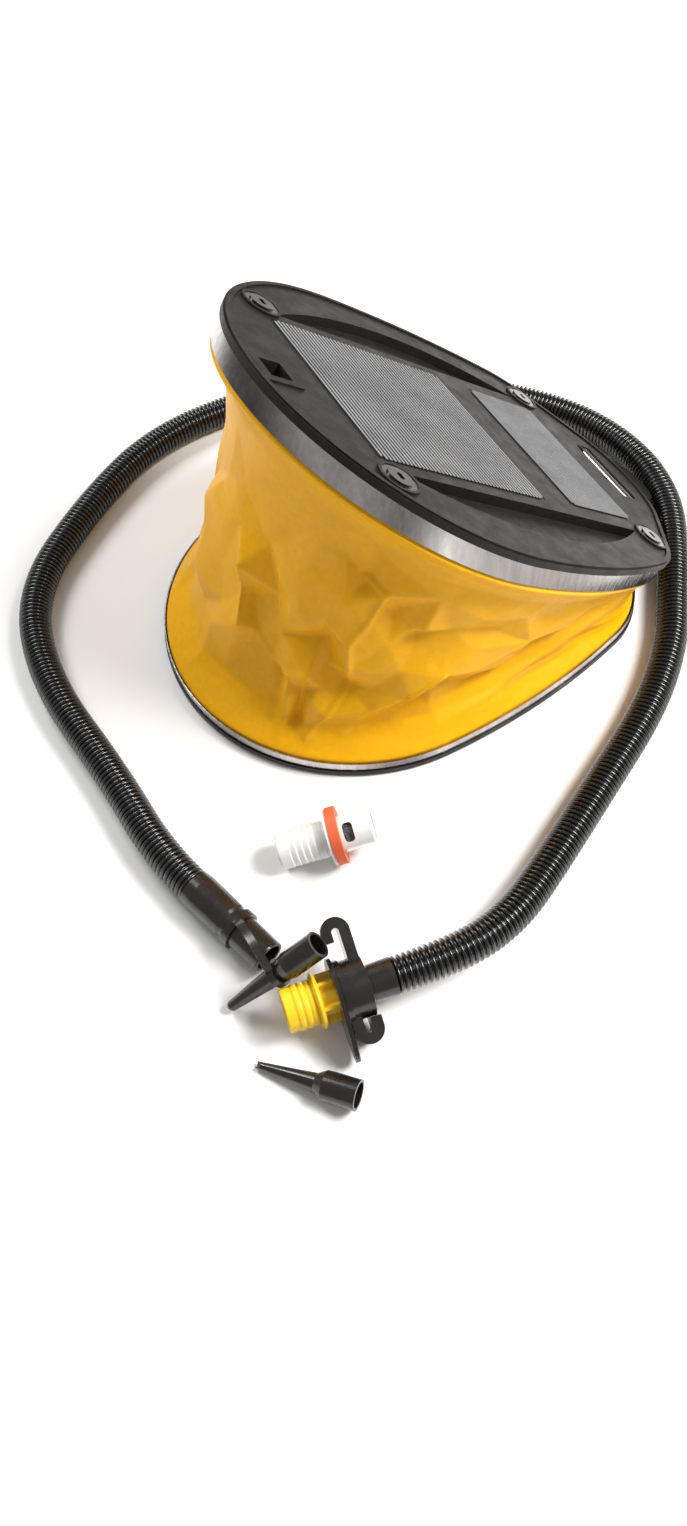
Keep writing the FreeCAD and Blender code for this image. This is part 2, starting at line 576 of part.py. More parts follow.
def bayonet_collar():
    collar = tube(16.4, COLLAR_BORE_R, COLLAR_TO - COLLAR_FROM, Vector(COLLAR_FROM, 0, 0), Vector(1, 0, 0))
    collar = collar.fuse(tube(17.4, 15.0, 3.0, Vector(COLLAR_TO - 3.0, 0, 0), Vector(1, 0, 0)))
    upper = finger_hook(18.5, 1, 31.0)
    lower = finger_hook(26.5, -1, 21.5)
    upper.rotate(Vector(0, 0, 0), Vector(1, 0, 0), 180)
    collar = collar.fuse([upper, lower])
    collar = collar.cut(cyl(COLLAR_BORE_R, 60, Vector(0, 0, 0), Vector(1, 0, 0)))
    return on_connector(collar, WING_ROLL)


def connector_disc():
    """Thin flange in front of the collar, drawn out into a lobe on its lower side."""
    thick = DISC_TO - DISC_FROM
    disc = cyl(19.5, thick, Vector(DISC_FROM, 0, 0), Vector(1, 0, 0))
    reach, end_r = 28.5, 8.0
    lean = math.asin((19.5 - end_r) / reach)
    side_y, side_z = math.sin(lean), math.cos(lean)
    lobe = polygon_prism([(19.5 * side_y, 19.5 * side_z), (reach + end_r * side_y, end_r * side_z),
                          (reach + end_r * side_y, -end_r * side_z), (19.5 * side_y, -19.5 * side_z)],
                         DISC_FROM, thick)
    lobe = lobe.fuse(cyl(end_r, thick, Vector(DISC_FROM, reach, 0), Vector(1, 0, 0)))
    disc = disc.fuse(lobe).cut(cyl(9.8, 60, Vector(0, 0, 0), Vector(1, 0, 0)))
    return on_connector(disc, WING_ROLL)


def polygon_prism(corners, x, thick):
    points = [Vector(x, y, z) for y, z in corners]
    return Part.Face(Part.makePolygon(points + points[:1])).extrude(Vector(thick, 0, 0))


def threaded_spigot():
    length = (CONN_END - CONN_START).Length
    start = DISC_FROM
    profile = [(start, 7.0), (start, 9.7), (41, 9.7), (41, 14.0), (44, 14.0), (44, 11.8)]
    x = 44.0
    while x < length - 6:                   # screw lands, drawn as shallow steps
        profile += [(x + 1.2, 12.4), (x + 2.6, 12.4), (x + 3.8, 11.8)]
        x += 3.8
    profile += [(length - 0.6, SPIGOT_R), (length, SPIGOT_R - 0.6), (length, SPIGOT_BORE_R),
                (44, SPIGOT_BORE_R), (41, 7.0)]
    body = revolve(profile)
    for angle in range(0, 360, 60):
        gusset = box(DISC_TO + 0.1, -0.9, 9.0, 41.2, 0.9, 13.4)
        gusset.rotate(Vector(0, 0, 0), Vector(1, 0, 0), angle + 15)
        body = body.fuse(gusset)
    return on_connector(body)


def spigot_seal():
    seal = Part.makeTorus(14.3, 0.9, Vector(42.5, 0, 0), Vector(1, 0, 0))
    groove = tube(16, 14.05, 3, Vector(41, 0, 0), Vector(1, 0, 0))
    return on_connector(seal.common(groove))


# ---- loose fittings ----------------------------------------------------------
ADAPTOR_START = Vector(-124.8, -143.8, 11.2)
ADAPTOR_END = Vector(-71.3, -159.2, 21.7)
ADAPTOR_BORE_R = 9.75


def adaptor_body():
    """Barbed valve adaptor: ridged barrel, flange, and a bayonet end with windows."""
    profile = [(0, ADAPTOR_BORE_R), (0, 10.6), (1.0, 11.0)]
    x = 7.0
    for _ in range(5):
        profile += [(x, 11.1), (x + 0.6, 10.6), (x + 3.2, 11.1)]
        x += 3.8
    profile += [(27.4, 11.1), (28.0, 10.5), (30.0, 10.5), (30.0, 16.6), (31.6, 16.6), (31.6, 11.4),
                (55.4, 10.8), (56.8, 9.8), (56.8, 9.0), (37.0, 9.2), (36.0, ADAPTOR_BORE_R)]
    body = revolve(profile)
    body = body.cut(rounded_plate(39.5, 45.5, 5.6, 2.2, 4.0, 20.0))
    lower = rounded_plate(39.5, 45.5, 5.6, 2.2, 4.0, 20.0)
    lower.rotate(Vector(0, 0, 0), Vector(1, 0, 0), 180)
    body = body.cut(lower)
    ledge = box(39.0, -10.6, 4.6, 56.8, -9.2, 8.2)
    body = body.fuse(ledge)
    return place(body, ADAPTOR_START, ADAPTOR_END, ADAPTOR_ROLL)


ADAPTOR_ROLL = 28.0


def adaptor_gasket():
    gasket = tube(17.2, 11.6, 5.6, Vector(31.8, 0, 0), Vector(1, 0, 0))
    return place(gasket, ADAPTOR_START, ADAPTOR_END)


def adaptor_screen():
    """Dark mesh sleeve behind the windows."""
    screen = tube(8.9, 8.0, 16.0, Vector(37.0, 0, 0), Vector(1, 0, 0))
    return place(screen, ADAPTOR_START, ADAPTOR_END)


LOOSE_TIP = Vector(-189.0, -247.0, 2.3)
LOOSE_MOUTH = Vector(-150.0, -288.6, 11.2)


def cone_nozzle():
    length = (LOOSE_MOUTH - LOOSE_TIP).Length
    body = revolve([(0, 1.3), (0, 1.9), (34, 5.0), (39, 7.9), (length, 8.2), (length, 6.7),
                    (length - 15, 6.7), (length - 15, 2.6), (10, 1.3)])
    wedge = Part.makePolygon([Vector(-1, 0, -0.4), Vector(-1, 0, 9), Vector(14, 0, 9), Vector(-1, 0, -0.4)])
    cut = Part.Face(wedge).extrude(Vector(0, 20, 0))
    cut.translate(Vector(0, -10, 0))
    return place(body.cut(cut), LOOSE_TIP, LOOSE_MOUTH)


# ---- write every node --------------------------------------------------------
NODES = {
    "base_plate": base_plate, "base_feet": base_feet, "bottom_band": bottom_band,
    "bottom_band_clip": lambda: band_clip(*BAND_LOW), "bellows": bellows, "top_band": top_band,
    "top_band_clip": lambda: open_pedal(band_clip(*BAND_TOP)), "pedal_plate": pedal_plate,
    "tread_large": lambda: tread(*TREAD_LARGE, 3.0), "tread_small": lambda: tread(*TREAD_SMALL, 2.1),
    "boss_plugs": boss_plugs, "grip_rod": grip_rod, "hinge_pin": hinge_pin, "pin_clips": pin_clips,
    "return_spring": return_spring, "spring_seat_lower": spring_seat_lower,
    "spring_seat_upper": spring_seat_upper, "intake_frame": intake_frame, "intake_flap": intake_flap,
    "outlet_port": outlet_port, "port_screws": port_screws, "outlet_seat": outlet_seat,
    "outlet_flap": outlet_flap, "hose": hose, "hose_cuff": hose_cuff,
    "tethered_nozzle": tethered_nozzle, "tether_strap": tether_strap,
    "connector_cuff": connector_cuff, "bayonet_collar": bayonet_collar,
    "connector_disc": connector_disc, "threaded_spigot": threaded_spigot, "spigot_seal": spigot_seal,
    "adaptor_body": adaptor_body, "adaptor_gasket": adaptor_gasket,
    "adaptor_screen": adaptor_screen, "cone_nozzle": cone_nozzle,
}

for node, build in NODES.items():
    export(build(), node)
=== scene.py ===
"""Foot air pump with a coated-fabric bellows: looks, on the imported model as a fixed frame."""
import bmesh
import bpy
import json
import math
import numpy as np
import random
from mathutils import Matrix, Vector
from mathutils.geometry import delaunay_2d_cdt


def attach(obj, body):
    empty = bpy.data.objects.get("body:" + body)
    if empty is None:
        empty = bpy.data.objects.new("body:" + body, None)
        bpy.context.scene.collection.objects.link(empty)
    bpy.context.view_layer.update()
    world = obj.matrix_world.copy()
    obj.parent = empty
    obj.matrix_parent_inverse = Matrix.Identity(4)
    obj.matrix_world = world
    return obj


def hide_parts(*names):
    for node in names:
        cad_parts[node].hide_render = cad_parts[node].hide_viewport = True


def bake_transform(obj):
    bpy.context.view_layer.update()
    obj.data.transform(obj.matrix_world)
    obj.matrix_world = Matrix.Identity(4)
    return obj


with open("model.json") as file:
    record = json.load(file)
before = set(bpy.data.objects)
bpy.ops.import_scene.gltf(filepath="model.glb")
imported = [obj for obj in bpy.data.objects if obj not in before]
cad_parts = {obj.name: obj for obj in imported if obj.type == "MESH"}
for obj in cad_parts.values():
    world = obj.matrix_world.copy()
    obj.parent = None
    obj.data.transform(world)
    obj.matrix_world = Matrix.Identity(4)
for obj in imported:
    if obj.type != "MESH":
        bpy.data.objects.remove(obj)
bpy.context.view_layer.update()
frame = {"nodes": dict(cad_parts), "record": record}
scene = bpy.context.scene
nodes = frame["nodes"]
MM = 0.001

# ---- sizes shared with the CAD source, in millimetres ------------------------
HINGE_X, HINGE_Z = 207.5, 14.4
OPEN = math.radians(36.0)
BASE_TOP = 12.0
PEDAL_LOW, PEDAL_TOP = -2.0, 15.0      # heights above the hinge plane, in the pedal's own frame
FABRIC_INSET = 2.7
HOSE_ROUTE = [
    (-177.5, -142.0, 12.2), (-187.1, -112.5, 12.2), (-191.0, -52.0, 10.8), (-205.0, 42.0, 10.8),
    (-188.0, 118.0, 10.8), (-122.0, 176.0, 10.8), (-56.0, 216.0, 10.8), (22.0, 222.0, 10.8),
    (94.0, 206.0, 10.8), (152.0, 174.0, 10.8), (200.0, 132.0, 10.8), (237.0, 84.0, 10.8),
    (251.0, 30.0, 10.8), (243.0, -20.0, 10.8), (217.0, -62.0, 10.8), (190.0, -97.0, 10.8),
    (167.0, -127.0, 10.8), (125.0, -162.0, 10.8), (60.0, -197.0, 10.8), (8.0, -225.0, 12.0),
    (-30.0, -244.2, 17.0), (-67.5, -250.0, 20.5), (-105.0, -244.0, 20.5)]


# ---- camera ------------------------------------------------------------------
CAMERA_AT = (-0.2132, -0.4200, 0.5633)
CAMERA_AZIMUTH, CAMERA_DOWN, CAMERA_ROLL = math.radians(25.53), math.radians(57.92), math.radians(-2.47)
CAMERA_SENSOR, CAMERA_LENS = 36.0, 25.23


def make_camera():
    data = bpy.data.cameras.new("view")
    camera = bpy.data.objects.new("view", data)
    scene.collection.objects.link(camera)
    ahead = Vector((math.sin(CAMERA_AZIMUTH) * math.cos(CAMERA_DOWN),
                    math.cos(CAMERA_AZIMUTH) * math.cos(CAMERA_DOWN), -math.sin(CAMERA_DOWN)))
    level = Vector((math.cos(CAMERA_AZIMUTH), -math.sin(CAMERA_AZIMUTH), 0.0))
    up = level.cross(ahead)
    right = level * math.cos(CAMERA_ROLL) + up * math.sin(CAMERA_ROLL)
    top = up * math.cos(CAMERA_ROLL) - level * math.sin(CAMERA_ROLL)
    place = Matrix((right, top, -ahead)).transposed().to_4x4()
    place.translation = Vector(CAMERA_AT)
    camera.matrix_world = place
    data.sensor_width = CAMERA_SENSOR
    data.lens = CAMERA_LENS
    data.clip_start, data.clip_end = 0.01, 20.0
    scene.camera = camera


make_camera()


# ---- materials ---------------------------------------------------------------
class Paint:
    """A Principled material with a few procedural helpers."""

    def __init__(self, name, rough=0.5, metallic=0.0, coat=0.0, coat_rough=0.2, specular=0.5, sheen=0.0):
        self.mat = bpy.data.materials.new(name)
        self.mat.use_nodes = True
        self.tree = self.mat.node_tree
        self.bsdf = self.tree.nodes["Principled BSDF"]
        self.bsdf.inputs["Roughness"].default_value = rough
        self.bsdf.inputs["Metallic"].default_value = metallic
        self.bsdf.inputs["Coat Weight"].default_value = coat
        self.bsdf.inputs["Coat Roughness"].default_value = coat_rough
        self.bsdf.inputs["Specular IOR Level"].default_value = specular
        self.bsdf.inputs["Sheen Weight"].default_value = sheen
        self.coords = self.tree.nodes.new("ShaderNodeTexCoord").outputs["Object"]
        self.normal = None

    def node(self, kind, **values):
        made = self.tree.nodes.new(kind)
        for key, value in values.items():
            setattr(made, key, value)
        return made

    def link(self, a, b):
        self.tree.links.new(a, b)

    def scaled(self, scale):
        mapping = self.node("ShaderNodeMapping")
        mapping.inputs["Scale"].default_value = scale
        self.link(self.coords, mapping.inputs["Vector"])
        return mapping.outputs["Vector"]

    def noise(self, scale, detail=3.0, rough=0.55, stretch=None, distortion=0.0):
        tex = self.node("ShaderNodeTexNoise")
        tex.inputs["Scale"].default_value = scale
        tex.inputs["Detail"].default_value = detail
        tex.inputs["Roughness"].default_value = rough
        tex.inputs["Distortion"].default_value = distortion
        self.link(self.scaled(stretch) if stretch else self.coords, tex.inputs["Vector"])
        return tex.outputs["Fac"]

    def ramp(self, fac, stops):
        ramp = self.node("ShaderNodeValToRGB")
        element = ramp.color_ramp.elements
        while len(element) < len(stops):
            element.new(0.5)
        for e, (at, colour) in zip(element, stops):
            e.position = at
            e.color = (*colour, 1.0)
        self.link(fac, ramp.inputs["Fac"])
        return ramp.outputs["Color"]

    def grey(self, fac, low, high, at=(0.3, 0.7)):
        return self.ramp(fac, [(at[0], (low,) * 3), (at[1], (high,) * 3)])

    def mix(self, fac, a, b, blend="MIX"):
        mix = self.node("ShaderNodeMix", data_type="RGBA", blend_type=blend)
        for value, socket in ((fac, mix.inputs["Factor"]), (a, mix.inputs["A"]), (b, mix.inputs["B"])):
            if isinstance(value, (int, float)):
                socket.default_value = value
            elif isinstance(value, tuple):
                socket.default_value = (*value, 1.0)
            else:
                self.link(value, socket)
        return mix.outputs["Result"]

    def math(self, operation, a, b=0.0):
        made = self.node("ShaderNodeMath", operation=operation)
        for value, socket in ((a, made.inputs[0]), (b, made.inputs[1])):
            if isinstance(value, (int, float)):
                socket.default_value = value
            else:
                self.link(value, socket)
        return made.outputs["Value"]

    def colour(self, value):
        if isinstance(value, tuple):
            self.bsdf.inputs["Base Color"].default_value = (*value, 1.0)
        else:
            self.link(value, self.bsdf.inputs["Base Color"])

    def rough(self, value):
        self.link(value, self.bsdf.inputs["Roughness"])

    def bump(self, height, distance, strength=1.0):
        made = self.node("ShaderNodeBump")
        made.inputs["Distance"].default_value = distance
        made.inputs["Strength"].default_value = strength
        self.link(height, made.inputs["Height"])
        if self.normal is not None:
            self.link(self.normal, made.inputs["Normal"])
        self.normal = made.outputs["Normal"]
        self.link(self.normal, self.bsdf.inputs["Normal"])

    def height_on_pedal(self):
        """Height above the hinge plane, in millimetres, on a piece of the open pedal."""
        split = self.node("ShaderNodeSeparateXYZ")
        self.link(self.coords, split.inputs[0])
        from_hinge_x = self.math("SUBTRACT", split.outputs["X"], HINGE_X * MM)
        from_hinge_z = self.math("SUBTRACT", split.outputs["Z"], HINGE_Z * MM)
        return self.math("ADD", self.math("MULTIPLY", from_hinge_x, math.sin(OPEN) / MM),
                         self.math("MULTIPLY", from_hinge_z, math.cos(OPEN) / MM))


def plate_black():
    """Moulded plastic with a cloudy tone, patches of dust and a few pale specks."""
    p = Paint("moulded_black", rough=0.45, specular=0.22)
    cloud = p.noise(22.0, 4.0)
    dust = p.ramp(p.noise(160.0, 6.0, 0.7), [(0.48, (0.0,) * 3), (0.74, (1.0,) * 3)])
    speck = p.ramp(p.noise(900.0, 2.0, 0.5), [(0.70, (0.0,) * 3), (0.76, (1.0,) * 3)])
    base = p.mix(cloud, (0.0075, 0.0068, 0.0062), (0.015, 0.0135, 0.0122))
    base = p.mix(p.math("MULTIPLY", dust, 0.22), base, (0.045, 0.040, 0.036))
    p.colour(p.mix(p.math("MULTIPLY", speck, 0.35), base, (0.14, 0.125, 0.11)))
    p.rough(p.grey(p.noise(70.0, 5.0, 0.65), 0.36, 0.56))
    p.bump(p.noise(1400.0, 2.0), 0.00012, 0.5)
    p.bump(p.noise(60.0, 3.0), 0.0006, 0.25)
    return p.mat


def tread_grey():
    """Painted shade between the ribs and a painted pale grey highlight on their crests."""
    p = Paint("tread_grey", rough=0.5, specular=0.3)
    rib_foot = PEDAL_TOP - 0.15
    above = p.math("SUBTRACT", p.height_on_pedal(), rib_foot)
    # random share, patchy across the tread, of the painted highlight and shade on the ribs
    painted_highlight_share = p.grey(p.noise(26.0, 5.0, 0.6), 0.55, 1.0)
    # painted highlight on the rib crests and painted shade down in the grooves, by height above the rib foot
    painted_rib_light = p.ramp(p.math("MULTIPLY", above, 1.3),
                   [(0.0, (0.004,) * 3), (0.60, (0.012,) * 3), (0.85, (0.25, 0.25, 0.255))])
    p.colour(p.mix(painted_highlight_share, (0.035, 0.035, 0.036), painted_rib_light))
    p.rough(p.grey(p.noise(300.0, 3.0), 0.36, 0.6))
    p.bump(p.noise(2200.0, 2.0), 0.0001, 0.4)
    return p.mat


def rubber(name, colour, rough=0.7):
    p = Paint(name, rough=rough, specular=0.35)
    darker = tuple(c * 0.75 for c in colour)
    p.colour(p.mix(p.noise(80.0, 4.0), darker, colour))
    p.bump(p.noise(1600.0, 2.0), 0.00015, 0.5)
    return p.mat


def band_steel():
    """Bright strip steel with broad dark and light reflections and fine upright streaks."""
    p = Paint("band_steel", rough=0.24, metallic=1.0)
    patches = p.noise(9.0, 1.5, 0.45, stretch=(1.0, 1.0, 0.15), distortion=0.2)
    tone = p.ramp(patches, [(0.34, (0.09, 0.08, 0.08)), (0.41, (0.30, 0.27, 0.26)),
                            (0.50, (0.66, 0.63, 0.61)), (0.58, (0.30, 0.28, 0.27)), (0.70, (0.46, 0.43, 0.42))])
    streak = p.grey(p.noise(330.0, 2.0, 0.5, stretch=(1.0, 1.0, 0.06)), 0.80, 1.0)
    p.colour(p.mix(1.0, tone, streak, "MULTIPLY"))
    p.rough(p.grey(p.noise(500.0, 2.0, 0.5, stretch=(1.0, 1.0, 0.1)), 0.16, 0.30))
    return p.mat


def steel(name, colour, rough):
    p = Paint(name, rough=rough, metallic=1.0)
    p.colour(p.mix(p.noise(90.0, 3.0), tuple(c * 0.7 for c in colour), colour))
    p.bump(p.noise(900.0, 2.0), 0.00004, 0.4)
    return p.mat


def fabric():
    """Yellow coated fabric: a cloudy tone under a fine grain."""
    p = Paint("coated_fabric", rough=0.40, specular=0.22)
    cloud = p.noise(9.0, 4.0, 0.6)
    base = p.mix(cloud, (0.80, 0.37, 0.003), (0.96, 0.50, 0.004))
    fine = p.grey(p.noise(240.0, 4.0, 0.6), 0.90, 1.0)
    p.colour(p.mix(1.0, base, fine, "MULTIPLY"))
    p.rough(p.grey(p.noise(120.0, 4.0, 0.6), 0.36, 0.50))
    p.bump(p.noise(1900.0, 2.0, 0.5), 0.00010, 0.35)
    p.bump(p.noise(230.0, 3.0, 0.55), 0.0004, 0.22)
    return p.mat


def soft_plastic(name, colour, rough=0.26, tint=None, coat=0.0):
    p = Paint(name, rough=rough, specular=0.4, coat=coat, coat_rough=0.14)
    other = tint or tuple(c * 0.7 for c in colour)
    p.colour(p.mix(p.noise(45.0, 4.0), other, colour))
    p.rough(p.grey(p.noise(140.0, 4.0, 0.6), rough * 0.8, rough * 1.5))
    p.bump(p.noise(420.0, 3.0), 0.00012, 0.4)
    return p.mat


def mesh_screen():
    p = Paint("screen_dark", rough=0.5)
    weave = p.node("ShaderNodeTexChecker")
    weave.inputs["Scale"].default_value = 1300.0
    p.link(p.coords, weave.inputs["Vector"])
    p.colour(p.mix(weave.outputs["Fac"], (0.01, 0.01, 0.012), (0.10, 0.10, 0.11)))
    p.bump(weave.outputs["Fac"], 0.0002, 0.6)
    return p.mat


paint = {
    "moulded_black": plate_black(),
    "tread_grey": tread_grey(),
    "rubber_black": rubber("rubber_black", (0.022, 0.022, 0.022)),
    "band_steel": band_steel(),
    "coated_fabric": fabric(),
    "bright_steel": steel("bright_steel", (0.42, 0.41, 0.40), 0.22),
    "spring_steel": steel("spring_steel", (0.42, 0.42, 0.44), 0.3),
    "fitting_black": soft_plastic("fitting_black", (0.006, 0.0055, 0.0055), 0.24, (0.014, 0.011, 0.010), 0.5),
    "hose_black": soft_plastic("hose_black", (0.004, 0.004, 0.004), 0.22, coat=0.9),
    "spigot_yellow": soft_plastic("spigot_yellow", (0.90, 0.60, 0.018), 0.30, (0.80, 0.50, 0.012)),
    "adaptor_white": soft_plastic("adaptor_white", (0.80, 0.79, 0.77), 0.42, (0.70, 0.69, 0.67)),
    "gasket_orange": rubber("gasket_orange", (0.78, 0.13, 0.045), 0.55),
    "screen_dark": mesh_screen(),
}


def finish_node(name, slot):
    obj = nodes[name]
    obj.data.materials.clear()
    obj.data.materials.append(paint[slot])


for part in frame["record"]["subparts"]:
    finish_node(part["node"], part["material_slot"])


EDGE_WIDTHS = {"pedal_plate": 0.0008, "base_plate": 0.0006, "bayonet_collar": 0.0009,
               "connector_disc": 0.0006, "threaded_spigot": 0.0004, "adaptor_body": 0.0004,
               "connector_cuff": 0.0004, "hose_cuff": 0.0004}
SHARP_EDGE = math.radians(35.0)


def soften_edges(name, width):
    """Small rounded edges on a moulded CAD piece."""
    bevel = nodes[name].modifiers.new("soft_edges", "BEVEL")
    bevel.width = width
    bevel.segments = 2
    bevel.limit_method = "ANGLE"
    bevel.angle_limit = SHARP_EDGE
    bevel.use_clamp_overlap = True


for name, width in EDGE_WIDTHS.items():
    soften_edges(name, width)


# ---- mesh helpers ------------------------------------------------------------
def add_mesh(name, verts, faces, slot):
    mesh = bpy.data.meshes.new(name)
    mesh.from_pydata([tuple(v) for v in verts], [], [tuple(f) for f in faces])
    mesh.validate()
    mesh.polygons.foreach_set("use_smooth", [True] * len(mesh.polygons))
    mesh.materials.append(paint[slot])
    obj = bpy.data.objects.new(name, mesh)
    scene.collection.objects.link(obj)
    return obj


def grid_faces(rows, columns):
    """Quads of a rows x columns vertex grid whose columns wrap round."""
    faces = []
    for i in range(rows - 1):
        for j in range(columns):
            k = (j + 1) % columns
            faces.append((i * columns + j, i * columns + k, (i + 1) * columns + k, (i + 1) * columns + j))
    return faces


def tube_faces(rings, around):
    """Faces of a swept tube, with both ends closed."""
    last = (rings - 1) * around
    ends = [tuple(range(around - 1, -1, -1)), tuple(last + k for k in range(around))]
    return grid_faces(rings, around) + ends


# ---- hose --------------------------------------------------------------------
HOSE_SAMPLES = 600                     # even points along the hose's middle line
RIB_PITCH = 3.25
RIB_PROFILE = [(0.00, 8.55), (0.09, 8.75), (0.18, 9.75), (0.32, 10.45), (0.48, 10.66),
               (0.64, 10.45), (0.78, 9.75), (0.88, 8.75)]      # (share of the pitch, radius) over one rib


def route_line(route, name):
    """Even points along the NURBS spline whose control points are the route's."""
    curve = bpy.data.curves.new(name, "CURVE")
    curve.dimensions = "3D"
    spline = curve.splines.new("NURBS")
    spline.points.add(len(route) - 1)
    for point, at in zip(spline.points, route):
        point.co = (at[0] * MM, at[1] * MM, at[2] * MM, 1.0)
    spline.order_u = 3
    spline.use_endpoint_u = True
    curve.resolution_u = 40
    obj = bpy.data.objects.new(name, curve)
    mesh = bpy.data.meshes.new_from_object(obj)
    points = np.array([v.co for v in mesh.vertices])
    bpy.data.objects.remove(obj)
    return points


def resample(points, count):
    """The line as count even points, and its length."""
    steps = np.linalg.norm(np.diff(points, axis=0), axis=1)
    along = np.concatenate([[0.0], np.cumsum(steps)])
    want = np.linspace(0.0, along[-1], count)
    return np.stack([np.interp(want, along, points[:, k]) for k in range(3)], 1), along[-1]


def sweep(points, radii, around):
    """Tube vertices along points with the given radius at each, without twist."""
    tangent = np.gradient(points, axis=0)
    tangent /= np.linalg.norm(tangent, axis=1)[:, None]
    side = np.cross(tangent[0], (0.0, 0.0, 1.0))
    verts = []
    for p, t, r in zip(points, tangent, radii):
        side = side - t * (side @ t)
        side /= np.linalg.norm(side)
        other = np.cross(t, side)
        for a in np.linspace(0.0, 2.0 * math.pi, around, endpoint=False):
            verts.append(p + r * (side * math.cos(a) + other * math.sin(a)))
    return verts


def make_hose():
    """The corrugated hose along its route, and the line that it follows."""
    line, length = resample(route_line(HOSE_ROUTE, "hose_route"), HOSE_SAMPLES)
    ribs = int(length / (RIB_PITCH * MM))
    stations, radii = [], []
    for i in range(ribs):
        for share, radius in RIB_PROFILE:
            stations.append((i + share) / ribs)
            radii.append(radius * MM)
    stations.append(1.0)
    radii.append(RIB_PROFILE[0][1] * MM)
    along = np.linspace(0.0, 1.0, len(line))
    points = np.stack([np.interp(stations, along, line[:, k]) for k in range(3)], 1)
    around = 30
    verts = sweep(points, radii, around)
    hose = add_mesh("corrugated_hose", verts, tube_faces(len(points), around), "hose_black")
    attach(hose, "base")
    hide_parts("hose")
    return hose, line


hose, hose_line = make_hose()


# ---- bellows -----------------------------------------------------------------
# Plate outline: radii of its free end, sides, corners and skirt, the skirt's end, and where the arcs meet.
R_FREE, R_SIDE, R_CORNER, R_SKIRT, X_SKIRT = 128.0, 450.0, 60.0, 9.0, 173.0
A_SIDE, A_TAPER = math.radians(71.9), math.radians(38.0)
COLLAR_LOW = 5.4                       # lower edge of the fabric under the bottom band
COLLAR_TOP = 10.6                      # upper edge under the top band, in pedal heights
CREASE_SCALE = 200.0                   # height that every wall has on the crease map, in mm
FABRIC_THICK = 1.1
FULL_WALL = 90.0                       # a shorter wall gets its flare and lip scaled down
FADE_LOW, FADE_HIGH = 10.0, 14.0       # the creases fade out over these heights beside the bands
FADE_WALL = 110.0                      # and are shallower where the wall is lower than this
CREASE_GAIN, PINCH_GAIN = 1.5, 1.3
PINCH_RISE, PINCH_WIDTH = 1.5, 3.2
rng = random.Random(11)


def half_outline():
    """Fabric's outline from its nose round one side to the tail's middle, with its running length."""
    side_y = R_FREE - R_SIDE
    reach = R_SIDE - R_CORNER
    corner = (reach * math.cos(A_SIDE), side_y + reach * math.sin(A_SIDE))
    end_x = X_SKIRT - R_SKIRT
    along = (R_CORNER - R_SKIRT) - (end_x - corner[0]) * math.cos(A_TAPER)
    end = (end_x, max(0.0, corner[1] + along / math.sin(A_TAPER)))
    arcs = [((0.0, 0.0), R_FREE, math.pi, math.pi / 2, 160), ((0.0, side_y), R_SIDE, math.pi / 2, A_SIDE, 80),
            (corner, R_CORNER, A_SIDE, A_TAPER, 30), (end, R_SKIRT, A_TAPER, 0.0, 8)]
    points = []
    for centre, radius, start, stop, count in arcs:
        for a in np.linspace(start, stop, count):
            points.append((centre[0] + (radius - FABRIC_INSET) * math.cos(a),
                           centre[1] + (radius - FABRIC_INSET) * math.sin(a)))
    points.append((points[-1][0], 0.0))
    points = np.array(points)
    steps = np.linalg.norm(np.diff(points, axis=0), axis=1)
    keep = np.concatenate([[True], steps > 1e-6])
    points = points[keep]
    return points, np.concatenate([[0.0], np.cumsum(np.linalg.norm(np.diff(points, axis=0), axis=1))])


OUTLINE, OUTLINE_AT = half_outline()
HALF = OUTLINE_AT[-1]


def on_outline(s):
    """Outline point and inward direction at signed distances s from the nose, positive on the -Y side."""
    hand = np.where(s < 0, 1.0, -1.0)
    away = np.clip(np.abs(s), 0.0, HALF)

    def at(a):
        return np.stack([np.interp(a, OUTLINE_AT, OUTLINE[:, 0]), np.interp(a, OUTLINE_AT, OUTLINE[:, 1])], 1)
    reach = 2.0                        # the outline's direction is taken over this much each way
    run = at(np.clip(away + reach, 0.0, HALF)) - at(np.clip(away - reach, 0.0, HALF))
    run /= np.linalg.norm(run, axis=1)[:, None]
    inward = np.stack([run[:, 1], -run[:, 0] * hand], 1)
    points = at(away)
    points[:, 1] *= hand
    return points, inward


def pedal_point(points, w):
    """World place, with the pedal open, of pedal-frame points at height w above the hinge plane."""
    along = points[:, 0] - HINGE_X
    return np.stack([HINGE_X + along * math.cos(OPEN) + w * math.sin(OPEN), points[:, 1],
                     HINGE_Z - along * math.sin(OPEN) + w * math.cos(OPEN)], 1)


